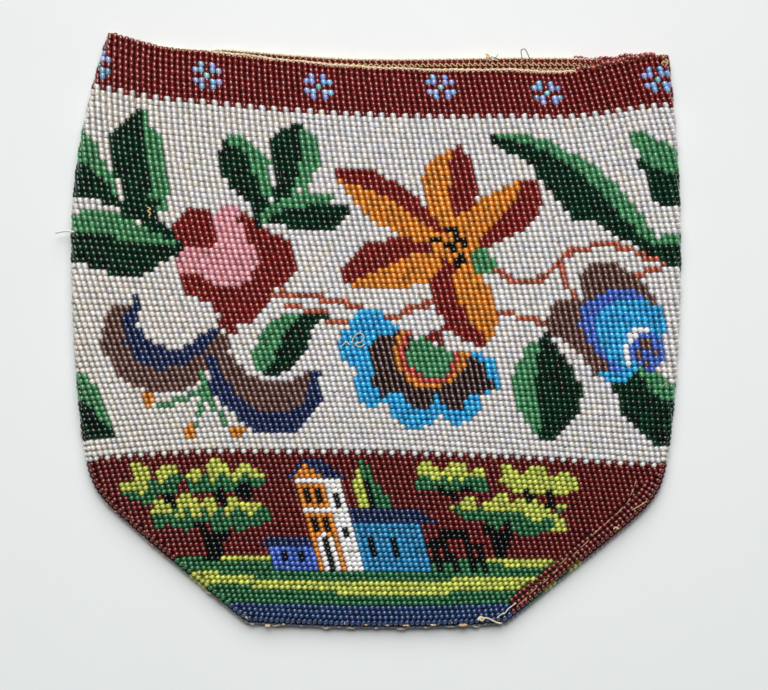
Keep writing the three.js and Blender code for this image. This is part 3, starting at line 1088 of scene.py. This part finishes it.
def bead_material(name, roughness, coat, hole, flank, flank_self_shade, streak, streak_colour):
    """Glass, darker at its holes and flanks as painted shade, with a painted highlight streak along its
    crest that partly stands for the thread inside, and a shine.
    """
    made, tree, shader = material(name)
    colour = attribute(tree, "bead_colour", "Color")
    cloud = ranged(tree, noise(tree, 1.4), 0.0, 0.22)
    colour = mix_colour(tree, "MULTIPLY", cloud, colour, (0.45, 0.42, 0.4, 1))
    end = attribute(tree, "bead_end", "Fac")
    side = attribute(tree, "bead_flank", "Fac")
    inner = scalar(tree, "POWER", scalar(tree, "SUBTRACT", 1.0, side), 3.0)
    # Painted shade at the holes and flanks, the glass's own colour deepened at the flanks as painted
    # shade, and a painted highlight streak on the crest.
    for factor, share, kind, tone in (
        (end, hole, "MULTIPLY", (0.5, 0.44, 0.38, 1)),
        (side, flank_self_shade, "MULTIPLY", colour),
        (side, flank, "MULTIPLY", (0.4, 0.38, 0.37, 1)),
        (inner, streak, "MIX", (*linear(streak_colour), 1)),
    ):
        colour = mix_colour(tree, kind, scalar(tree, "MULTIPLY", factor, share), colour, tone)
    feed(tree, shader, {
        "Base Color": colour,
        "Roughness": ranged(tree, noise(tree, 0.6), roughness * 0.7, roughness * 1.4),
        "IOR": 1.52,
        "Coat Weight": coat,
        "Coat Roughness": 0.04,
    })
    return made


def thread_material():
    """Twisted silk: a colour for each thread, with soiled stretches and fibres of different tone."""
    made, tree, shader = material("twisted_silk")
    fibre = noise(tree, 2.6, 4.0)
    own = attribute(tree, "thread_colour", "Color")
    tone = mix_colour(tree, "MULTIPLY", ranged(tree, fibre, 0.55, 0.0), own, (0.5, 0.42, 0.34, 1))
    soil = ranged(tree, noise(tree, 0.14), 0.0, 0.5)
    feed(tree, shader, {
        "Base Color": mix_colour(tree, "MULTIPLY", soil, tone, (0.66, 0.56, 0.44, 1)),
        "Roughness": ranged(tree, fibre, 0.62, 0.88),
        "Normal": bumped(tree, fibre, 0.5, 0.0001),
        "Sheen Weight": 0.25,
    })
    return made


def ground_material():
    """The knitted thread between the beads: a colour for each place, with loops of thread as bump."""
    made, tree, shader = material("knit_ground")
    fibre = noise(tree, 1.8, 4.0)
    own = attribute(tree, "ground_colour", "Color")
    tone = mix_colour(tree, "MULTIPLY", ranged(tree, fibre, 0.0, 0.6), own, (0.5, 0.46, 0.42, 1))
    feed(tree, shader, {
        "Base Color": tone,
        "Roughness": ranged(tree, fibre, 0.75, 0.95),
        "Normal": bumped(tree, fibre, 0.6, 0.0002),
    })
    return made


# The bag's pieces

def finish_piece(piece, made, slot, *nodes):
    """Gives a piece its material and its body, and hides the nodes that it stands for; the slot is not
    used.
    """
    piece.data.materials.append(made)
    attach(piece, "root")
    if nodes:
        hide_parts(*nodes)


def thread_piece(name, parts, made, *nodes):
    """Several threads as one piece, each with a strip of the map of its own."""
    all_points, all_triangles, all_colours, all_maps = zip(*parts)
    starts = np.cumsum([0] + [len(points) for points in all_points])
    triangles = [part + start for part, start in zip(all_triangles, starts)]
    maps = [(uv * np.array([1, 0.9]) + np.array([0, index + 0.05])) / np.array([1, len(parts)])
            for index, uv in enumerate(all_maps)]
    piece = new_mesh(name, np.concatenate(all_points), np.concatenate(triangles),
                     {"thread_colour": np.concatenate(all_colours)}, np.concatenate(maps))
    finish_piece(piece, made, "silk_thread", *nodes)


# Kinds of glass: their colours, roughness, clear coat, painted shade at holes and flanks, depth of their
# own colour at the flanks as painted shade, and painted highlight streak with its colour.
WARMS = ("yellow", "orange", "pink", "rust", "scarlet")
BLUES = ("sky", "azure", "periwinkle", "floret", "aqua")
GLASSES = {
    "pearl": (("white",), 0.16, 0.6, 0.05, 0.6, 0.0, 0.5, (255, 254, 251)),
    "chalk": (("bright",), 0.3, 0.4, 0.15, 0.0, 0.0, 0.0, (255, 255, 255)),
    "garnet": (("garnet", "wine", "petal", "chestnut"), 0.12, 0.55, 0.5, 0.4, 0.1, 0.36, (206, 96, 84)),
    "shade": (("dark", "black"), 0.12, 0.15, 0.5, 0.35, 0.2, 0.03, (60, 130, 96)),
    "leaf": (("green", "tree"), 0.14, 0.4, 0.5, 0.4, 0.5, 0.2, (122, 200, 156)),
    "bright": (WARMS, 0.2, 0.6, 0.5, 0.4, 0.75, 0.12, (255, 240, 196)),
    "agate": (("brown", "peony"), 0.12, 0.6, 0.5, 0.5, 0.5, 0.4, (196, 160, 150)),
    "ink": (("navy", "slate"), 0.12, 0.65, 0.5, 0.45, 0.3, 0.26, (120, 146, 208)),
    "deep": (BLUES, 0.14, 0.8, 0.5, 0.4, 0.55, 0.06, (220, 240, 255)),
}
MOST_BEADS = 4000
# A bead is on the front where its outward direction rises by more than this.
FRONT_RISE = 0.02
# Share of red, green and blue taken away towards the left edge, and where that darkening starts.
LEFT_DARKENING = np.array([0.06, 0.09, 0.17])
DARKENED_FROM = -15
DARKENED_REACH = 70


def make_beads():
    """All beads of the knit and its edge, in pieces by side and kind of glass."""
    pairs = zip(knit_lattice(), edge_strips())
    place, along, up, out, colour, radius, length = (np.concatenate(pair) for pair in pairs)
    # Beads are darker and warmer towards the left edge.
    darkened = np.clip((DARKENED_FROM - place[:, :1]) / DARKENED_REACH, 0, 1)
    tint = bead_tints(colour) * (1 - darkened * LEFT_DARKENING)
    front = out[:, 2] > FRONT_RISE
    glass = {}
    for kind, (names, *looks) in GLASSES.items():
        glass[kind] = bead_material(f"{kind}_glass", *looks)
        mine = np.isin(colour, [CODE[name] for name in names])
        for side, form, there in (("front", FRONT_BEAD, front), ("back", BACK_BEAD, ~front)):
            index = np.flatnonzero(mine & there)
            index = index[np.argsort(place[index, 0], kind="stable")]
            shares = np.array_split(index, max(1, int(np.ceil(len(index) / MOST_BEADS))))
            for number, part in enumerate(shares):
                name = f"beads_{side}_{kind}" + (f"_{number + 1}" if len(shares) > 1 else "")
                beads = (values[part] for values in (place, along, up, out, tint, radius, length))
                finish_piece(bead_mesh(name, form, *beads), glass[kind], "bead_knit")
    return glass


# The knitted shell: points in a round, rows inside, and colours of its thread inside and out.
GROUND_SIDES = 156
INNER_RINGS = 40
RIM_MARGIN = 0.2
INSIDE_THREAD = (112, 66, 46)
PALE_GROUND = (222, 212, 194)
# Share of the beads' own colour that the thread between coloured beads takes: painted shade, tinted like
# the glass.
GAP_SHADE_SHARE = 0.22


def ground_tints(height, around, inside):
    """Colours of the knitted thread: pale under white beads, brown inside, and elsewhere the colour of
    the beads outside, darkened as painted shade between them.
    """
    x, y = pattern_place(height + 0 * around, around)
    nearest = np.abs(course_heights()[0] - height).argmin(1)
    course = np.repeat(nearest, GROUND_SIDES)
    start = ground_colour(course, np.ones(course.size, int))
    colour = draw_pattern(x.ravel(), y.ravel(), course - UPPER_COURSES, start)
    pale = (colour == CODE["white"])[:, None]
    # Between coloured beads the thread takes their colour, darkened: painted shade.
    outside = np.where(pale, linear(PALE_GROUND), GAP_SHADE_SHARE * LIGHTS[colour])
    tint = np.where(np.repeat(inside, GROUND_SIDES)[:, None], linear(INSIDE_THREAD), outside)
    return np.column_stack([tint, np.ones(len(tint))])


def make_ground():
    """The knitted shell under the beads, outside and inside, with the mouth open and the base closed."""
    sides = GROUND_SIDES
    rim = BAG_LENGTH - RIM_MARGIN
    outer = course_heights()[0][::-1]
    outer = np.concatenate([[BASE_FOLD - BASE_MARGIN], outer[outer > BASE_FOLD], [rim]])
    inner = np.linspace(rim, BASE_FOLD + BASE_MARGIN, INNER_RINGS)
    height = np.concatenate([outer, inner])[:, None]
    rings = len(height)
    inside = np.arange(rings) >= len(outer)
    around = (np.arange(sides) / sides - 0.5) * round_length(flat_run(height)[1])
    points = surface(height, around, np.where(inside, WALL, GROUND_DEPTH)[:, None])
    triangles, uv = ring_faces(rings, sides)
    faces = [triangles]
    maps = [uv[..., ::-1] * np.array([1, (rings - 1) / rings])]
    # The base: a strip of faces from the front to the back, outside and inside.
    quarter = sides // 4
    j = np.arange(-quarter, quarter)
    for ring, flip in ((0, False), (rings - 1, True)):
        front, front_next = (ring * sides + (sides // 2 + j + e) % sides for e in (0, 1))
        back, back_next = (ring * sides + (-j - e) % sides for e in (0, 1))
        strip = np.concatenate([np.column_stack([front, back, front_next]),
                                np.column_stack([front_next, back, back_next])])
        strip = strip[(strip != np.roll(strip, 1, axis=1)).all(1)]
        faces.append(strip[:, ::-1] if flip else strip)
        spread = np.linspace(0, 0.001, len(strip))[:, None]
        maps.append(np.stack([np.column_stack([spread + u, spread + v])
                              for u, v in ((0, 0.998), (0.001, 0.998), (0, 0.999))], 1))
    attributes = {"ground_colour": ground_tints(height, around, inside)}
    piece = new_mesh("knit_ground", points.reshape(-1, 3), np.concatenate(faces), attributes,
                     np.concatenate(maps).clip(0, 1))
    finish_piece(piece, ground_material(), "bead_knit", "bag_body")


# Threads, in sRGB levels.
CREAM = (255, 242, 208)
TAN = (240, 206, 148)
ROSE_TAN = (212, 158, 124)
REDDISH = (150, 66, 46)
GREY = (128, 112, 100)
PALE = (255, 253, 248)
PALE_TAN = (238, 222, 188)

# The mouth: half the flat run of its rim, its thread, its rows inside the back, and its standing beads.
RIM_HALF = flat_run(np.float64(BAG_LENGTH))[1]
RIM_STEPS = 6
THIN_THREAD = 0.07
WORN_THREAD = 0.17
BACK_THREAD = 0.19
RIM_WANDER = ((0.16, 0.21, 0.0), (0.1, 0.57, 1.0), (0.08, 1.31, 2.0))
RIM_LIFT = 0.12
RIM_DEPTH = 0.5
LOOP_DROP = 0.35
LOOP_SIZE = 0.3
LOOP_DEPTH = 0.6
INSIDE_SPAN = (-0.88, 0.78)
INSIDE_FADE = 0.12
INSIDE_SAMPLES = 490
INSIDE_WAVE = 0.42
INSIDE_DEPTH = 0.4
INSIDE_STEP = 1.74
INSIDE_THREADS = 4
INSIDE_BEAD_ROWS = 3
LYING_SPAN = (-0.87, 0.86)
STANDING_SPAN = (0.69, 0.97)
STANDING_STEP = 1.5
MOUTH_BEAD_RADIUS = 0.8
MOUTH_BEAD_LENGTH = 1.3
CORNER_BEAD = (663, 58, -0.8)
KNOT = ((661, 61, -1.2), (664, 59, -0.6), (667.5, 61, -0.8), (666, 65, -0.7), (662, 64, -0.4),
        (664, 61.5, -0.1), (667, 64, -0.6))


def make_mouth_thread(silk):
    """The worked edge of the mouth, and the first rows of thread seen on the inside of the back."""
    samples = COLUMNS * RIM_STEPS
    around = (np.arange(samples) / samples - 0.5) * round_length(RIM_HALF)
    turn = np.arange(samples) * np.pi / RIM_STEPS
    across = around / RIM_HALF
    worn = ramp(across, -0.8, 0.25) * ramp(-across, -0.78, 0.1)
    thick = np.where(np.abs(around) < RIM_HALF, THIN_THREAD + WORN_THREAD * worn, BACK_THREAD)
    thick[(around > 0.7 * RIM_HALF) & (around < 1.36 * RIM_HALF)] = THIN_THREAD
    stray = wander(turn, RIM_WANDER)
    # A two-ply thread on the rim, and small loops from it down between the beads of the first course.
    parts = []
    for side in (-1, 1):
        height = BAG_LENGTH + RIM_LIFT + 0.6 * stray + PLY_OFFSET * side * thick * np.sin(turn)
        path = surface(height, around, RIM_DEPTH + PLY_OFFSET * side * thick * np.cos(turn))
        parts.append(tube(path, thick, CREAM, closed=True))
    loops = BAG_LENGTH - LOOP_DROP + LOOP_SIZE * np.cos(2 * turn) + 0.5 * stray
    path = surface(loops, around, LOOP_DEPTH + LOOP_SIZE * np.sin(2 * turn))
    parts.append(tube(path, 0.6 * thick + 0.03, TAN, closed=True))
    # Rows of thread on the inside of the back.
    across = np.linspace(*INSIDE_SPAN, INSIDE_SAMPLES)
    fade = np.clip((INSIDE_SPAN[1] - across) / INSIDE_FADE, 0.2, 1)
    step = across * RIM_HALF / INSIDE_STEP * 2 * np.pi
    for row in range(INSIDE_THREADS):
        height = BAG_LENGTH - 0.1 - row * BAND_PITCH
        wave = INSIDE_WAVE * np.sin(step + row) if row else 0.2 + 0.25 * np.sin(1.7 * step)
        depth = WALL + INSIDE_DEPTH + 0.15 * np.cos(step)
        path = surface(height + wave, back_around(height, across), depth)
        parts.append(tube(path, fade * (0.23 if row else 0.34), TAN if row else CREAM))
    # A knot at the right end.
    parts += plies(smooth_path([on_front(*place) for place in KNOT]), 0.2, 1.2, TAN)
    thread_piece("mouth_edge_thread", parts, silk, "mouth_edging")


def make_mouth_beads(glass):
    """Beads on the inside of the back, and beads that stand on end along the right of the rim."""
    places, colours = [], []
    spots = np.arange(LYING_SPAN[0] * RIM_HALF, LYING_SPAN[1] * RIM_HALF, INSIDE_STEP)
    for row in range(INSIDE_BEAD_ROWS):
        height = BAG_LENGTH - 0.9 - row * BAND_PITCH
        places.append(surface(height, back_around(height, spots / RIM_HALF), WALL - 0.1))
        colours.append(np.full(len(spots), CODE["wine" if row else "petal"]))
    lying = INSIDE_BEAD_ROWS * len(spots)
    spots = np.arange(STANDING_SPAN[0] * RIM_HALF, STANDING_SPAN[1] * RIM_HALF, STANDING_STEP)
    rim = BAG_LENGTH + 0.3 + 0.3 * np.sin(spots * 0.9)
    places.append(surface(rim, spots, BEAD_DEPTH - 0.35))
    places.append(surface(rim, back_around(BAG_LENGTH, spots / RIM_HALF), BEAD_DEPTH + 0.35))
    places.append(on_front(*CORNER_BEAD)[None])
    standing = 2 * len(spots) + 1
    colours.append(np.where(np.arange(standing) % 3, CODE["chestnut"], CODE["scarlet"]))
    place = np.concatenate(places)
    count = len(place)
    along, towards_mouth, towards_viewer = (np.tile(axis, (count, 1)) for axis in np.eye(3))
    lies = (np.arange(count) < lying)[:, None]
    up = np.where(lies, towards_mouth, towards_viewer)
    out = np.where(lies, towards_viewer, towards_mouth)
    tint = bead_tints(np.concatenate(colours))
    piece = bead_mesh("beads_mouth", FRONT_BEAD, place, along, up, out, tint,
                      np.full(count, MOUTH_BEAD_RADIUS), np.full(count, MOUTH_BEAD_LENGTH))
    finish_piece(piece, glass["garnet"], "bead_knit")


# Stitches of the right-hand seam, from the first up to the last, with the height from which they lean
# inwards, and the thread of the base seam.
FIRST_STITCH = 6.0
LAST_STITCH = 42
LEAN_FROM = 9
LEAN_RUN = 34
STITCH_INSET = 0.6
STITCH_LEAN = 5.4
STITCH_SCATTER = 0.3
STITCH_DEPTH = 0.75
STITCH_ARCH = 0.8
STITCH_POINTS = 7
STITCH_RADIUS = 0.15
STITCH_LENGTH = (1.6, 3.2)
STITCH_GAP = (0.3, 1.1)
BASE_SEAM_STEP = 0.25
BASE_SEAM_END = 34
BASE_SEAM_RADIUS = 0.13
BASE_SEAM_PITCH = 1.6
BASE_SEAM_SINK = 0.6
BASE_SEAM_WANDER = ((0.3, 0.83, 0.0), (0.25, 0.31, 1.0), (0.12, 2.9, 0.0))


def make_seams(silk):
    """The sewing threads of the slanted right corner and of the base."""
    # Right-hand seam: short stitches that show between the beads, leaning inwards towards its top.
    parts = []
    dip = STITCH_DEPTH - STITCH_ARCH * np.sin(np.linspace(0.1, np.pi - 0.1, STITCH_POINTS))
    height = FIRST_STITCH
    while height < LAST_STITCH:
        stop = height + rng.uniform(*STITCH_LENGTH)
        rise = np.linspace(height, stop, STITCH_POINTS)
        lean = STITCH_LEAN * np.clip((rise - LEAN_FROM) / LEAN_RUN, 0, 1)
        inset = STITCH_INSET + lean + rng.normal(0, STITCH_SCATTER)
        path = surface(rise, flat_run(rise)[1] - inset, dip)
        parts.append(tube(path, STITCH_RADIUS, CREAM if FIRST_STITCH < height < LEAN_FROM else ROSE_TAN))
        height = stop + rng.uniform(*STITCH_GAP)
    thread_piece("side_seam_stitches", parts, silk, "side_seam_thread")
    # Base seam: a worn thread that winds along the folded edge of the left corner and the base.
    line, _, outward = edge_line(BASE_SEAM_STEP)
    chosen = line[:, 0] < BASE_SEAM_END
    line = line[chosen]
    at = np.arange(len(line)) * BASE_SEAM_STEP
    proud = wander(at, BASE_SEAM_WANDER) - BASE_SEAM_SINK
    reach = FOLD_RADIUS + proud + 0.25 * ramp(-line[:, 1], -8, 4)
    z = FOLD_RADIUS + 0.5 * np.sin(at * 1.7)
    path = np.column_stack([line + reach[:, None] * outward[chosen], z]) + BASE_MIDDLE
    parts = plies(path, BASE_SEAM_RADIUS, BASE_SEAM_PITCH, PALE_TAN)
    thread_piece("base_seam_stitches", parts, silk, "base_seam_thread")


# Thread ends that stand out of the knit: colour, radius, lift, and the pixels that each one passes.
LOOSE_ENDS = (
    (TAN, 0.14, 0.1, (632, 510), (640, 505.5), (647, 501)),
    (TAN, 0.3, 0.1, (613.5, 529), (616, 527.2), (618.5, 528.6), (616.5, 529)),
    (CREAM, 0.3, 0.1, (478, 620), (480, 617), (484, 618.5), (482, 620.5), (479, 618.5), (484, 617.5)),
    (CREAM, 0.26, 0.1, (481, 618), (487, 618), (492, 620), (497, 622.5), (502, 623.5)),
    (CREAM, 0.17, 0.1, (497, 618), (501, 614.5), (505, 613), (508, 609), (512, 606), (516, 603)),
    (CREAM, 0.16, 0.2, (352, 343), (354, 337), (360, 333), (364, 337), (361, 342), (355, 344), (360, 347),
     (365, 344)),
    (CREAM, 0.15, 0.2, (342, 346), (346, 342), (350, 345)),
    (PALE, 0.34, 0.1, (74, 232), (68, 231), (62, 231.5), (55, 233)),
    (TAN, 0.24, 0.1, (147.5, 207), (150.5, 209), (148, 211), (150.5, 213.5), (149, 216)),
    (TAN, 0.13, 0.1, (663, 386), (666, 383), (668, 385)),
    (REDDISH, 0.14, 0.1, (214, 598), (217, 600), (219, 603)),
)
PLIED_FROM = 0.22
PLIED_WIDTH = 1.7
PLIED_PITCH = 1.3
# A hairpin of thread over the rim, with heights over the table, and stray ends at the back of the mouth.
HAIRPIN = ((523.5, 64, 8.4), (521, 52, 8.0), (522.5, 49.4, 7.7), (525.5, 49.6, 7.7), (529, 57, 8.0),
           (531, 63, 8.4))
HAIRPIN_RADIUS = 0.15
STRAY_ENDS = (
    (TAN, 0.2, (485, 60), (487, 56), (486, 54), (489, 55.5), (488, 60)),
    (GREY, 0.1, (488, 58), (492, 56.8), (496, 58), (500, 60)),
    (GREY, 0.09, (494, 58.5), (497, 56), (497.5, 54.5)),
    (PALE, 0.12, (489, 61), (494, 59.5), (498, 61)),
)
STRAY_HEIGHT = 3.0
# Tufts at the base: middle, how many curls, and how wide and tall they spread, in pixels.
TUFTS = (
    (267.5, 625.6, 12, 1.6, 0.9),
    (463, 625.2, 12, 2.5, 0.8),
    (283.5, 624.8, 4, 0.8, 0.6),
    (246.7, 617.2, 7, 0.7, 1.0),
    (345, 623.2, 2, 0.3, 0.9),
    (452, 623, 2, 0.3, 1.0),
    (366, 625, 4, 1.0, 0.4),
    (387, 625.2, 3, 1.0, 0.4),
    (406, 625.4, 6, 2.2, 0.4),
    (433, 625.2, 5, 2.2, 0.4),
)
TUFT_RADIUS = 0.11
TUFT_REACH = 1.6
TUFT_HEIGHTS = (4.7, 4.3, 3.8, 3.4)


def make_loose_threads(silk):
    """Thread ends that stand out of the knit and the mouth, and tufts along the base."""
    parts = []
    for colour, radius, lift, *pixels in LOOSE_ENDS:
        path = smooth_path([on_front(x, y, lift) for x, y in pixels])
        if radius > PLIED_FROM:
            parts += plies(path, radius / PLIED_WIDTH, PLIED_PITCH, colour)
        else:
            parts.append(tube(path, radius, colour))
    path = smooth_path([under_pixel(*place) for place in HAIRPIN])
    parts.append(tube(path, HAIRPIN_RADIUS, GREY))
    for colour, radius, *pixels in STRAY_ENDS:
        path = smooth_path([under_pixel(x, y, STRAY_HEIGHT) for x, y in pixels])
        parts.append(tube(path, radius, colour))
    for x, y, count, *spread in TUFTS:
        for _ in range(count):
            curl = rng.normal(0, 1, (len(TUFT_HEIGHTS), 2)).clip(-TUFT_REACH, TUFT_REACH) * spread
            path = [under_pixel(x + dx, y + dy, z) for (dx, dy), z in zip(curl, TUFT_HEIGHTS)]
            colour = TAN if rng.random() < 0.5 else CREAM
            parts.append(tube(smooth_path(path, 5), TUFT_RADIUS, colour))
    thread_piece("loose_threads", parts, silk)


# Camera, table and light, in metres

TABLE_WIDTH = 12.0


def make_camera():
    """The photograph's own view, from straight above."""
    scene = bpy.context.scene
    scene.view_settings.view_transform = "Standard"
    camera = bpy.data.objects.new("camera", bpy.data.cameras.new("camera"))
    scene.collection.objects.link(camera)
    camera.location = (CAMERA_X / 1000, CAMERA_Y / 1000, (CAMERA_PLANE + CAMERA_DISTANCE) / 1000)
    camera.data.sensor_width = SENSOR_WIDTH
    camera.data.lens = SENSOR_WIDTH * CAMERA_DISTANCE / (PHOTO_SIZE[0] * PIXEL)
    scene.camera = camera


def make_table():
    """A pale table with a painted pool of light: lighter behind the mouth of the bag than at its foot."""
    made, tree, shader = material("pale_table")
    apart = tree.nodes.new("ShaderNodeVectorMath")
    apart.operation = "DISTANCE"
    feed(tree, apart, {0: own_place(tree), 1: (0, 0.14, 0)})
    # Painted light: the table is paler near a point behind the mouth and darker farther away.
    away = ranged(tree, apart.outputs["Value"], 0.0, 1.0, 0.03, 0.27)
    tone = mix_colour(tree, "MIX", away, (0.915, 0.93, 0.925, 1), (0.765, 0.795, 0.785, 1))
    cloud = ranged(tree, noise(tree, 0.02, 5.0), 0.0, 0.15)
    colour = mix_colour(tree, "MULTIPLY", cloud, tone, (0.9, 0.9, 0.9, 1))
    feed(tree, shader, {"Base Color": colour, "Roughness": 0.85})
    mesh = bpy.data.meshes.new("table")
    half = TABLE_WIDTH / 2
    corners = [(-half, -half, 0), (half, -half, 0), (half, half, 0), (-half, half, 0)]
    mesh.from_pydata(corners, [], [(0, 1, 2, 3)])
    mesh.materials.append(made)
    table = bpy.data.objects.new("table", mesh)
    bpy.context.scene.collection.objects.link(table)


def make_light():
    """A faint even sky, a broad soft window over the top of the bag, and a smaller one higher up."""
    scene = bpy.context.scene
    world = bpy.data.worlds.new("studio")
    scene.world = world
    world.use_nodes = True
    sky = world.node_tree.nodes["Background"]
    feed(world.node_tree, sky, {"Color": (0.97, 0.99, 1.0, 1), "Strength": 0.1})
    for name, energy, angle, towards in (
        ("window", 2.98, 60, (0.0, -0.682, -0.731)),
        ("skylight", 0.7, 20, (0.03, -0.423, -0.906)),
    ):
        lamp = bpy.data.lights.new(name, "SUN")
        lamp.energy = energy
        lamp.angle = np.radians(angle)
        holder = bpy.data.objects.new(name, lamp)
        holder.rotation_mode = "QUATERNION"
        holder.rotation_quaternion = Vector(towards).to_track_quat("-Z", "Y")
        scene.collection.objects.link(holder)


make_camera()
make_table()
make_light()
glass = make_beads()
make_ground()
silk = thread_material()
make_mouth_thread(silk)
make_mouth_beads(glass)
make_seams(silk)
make_loose_threads(silk)
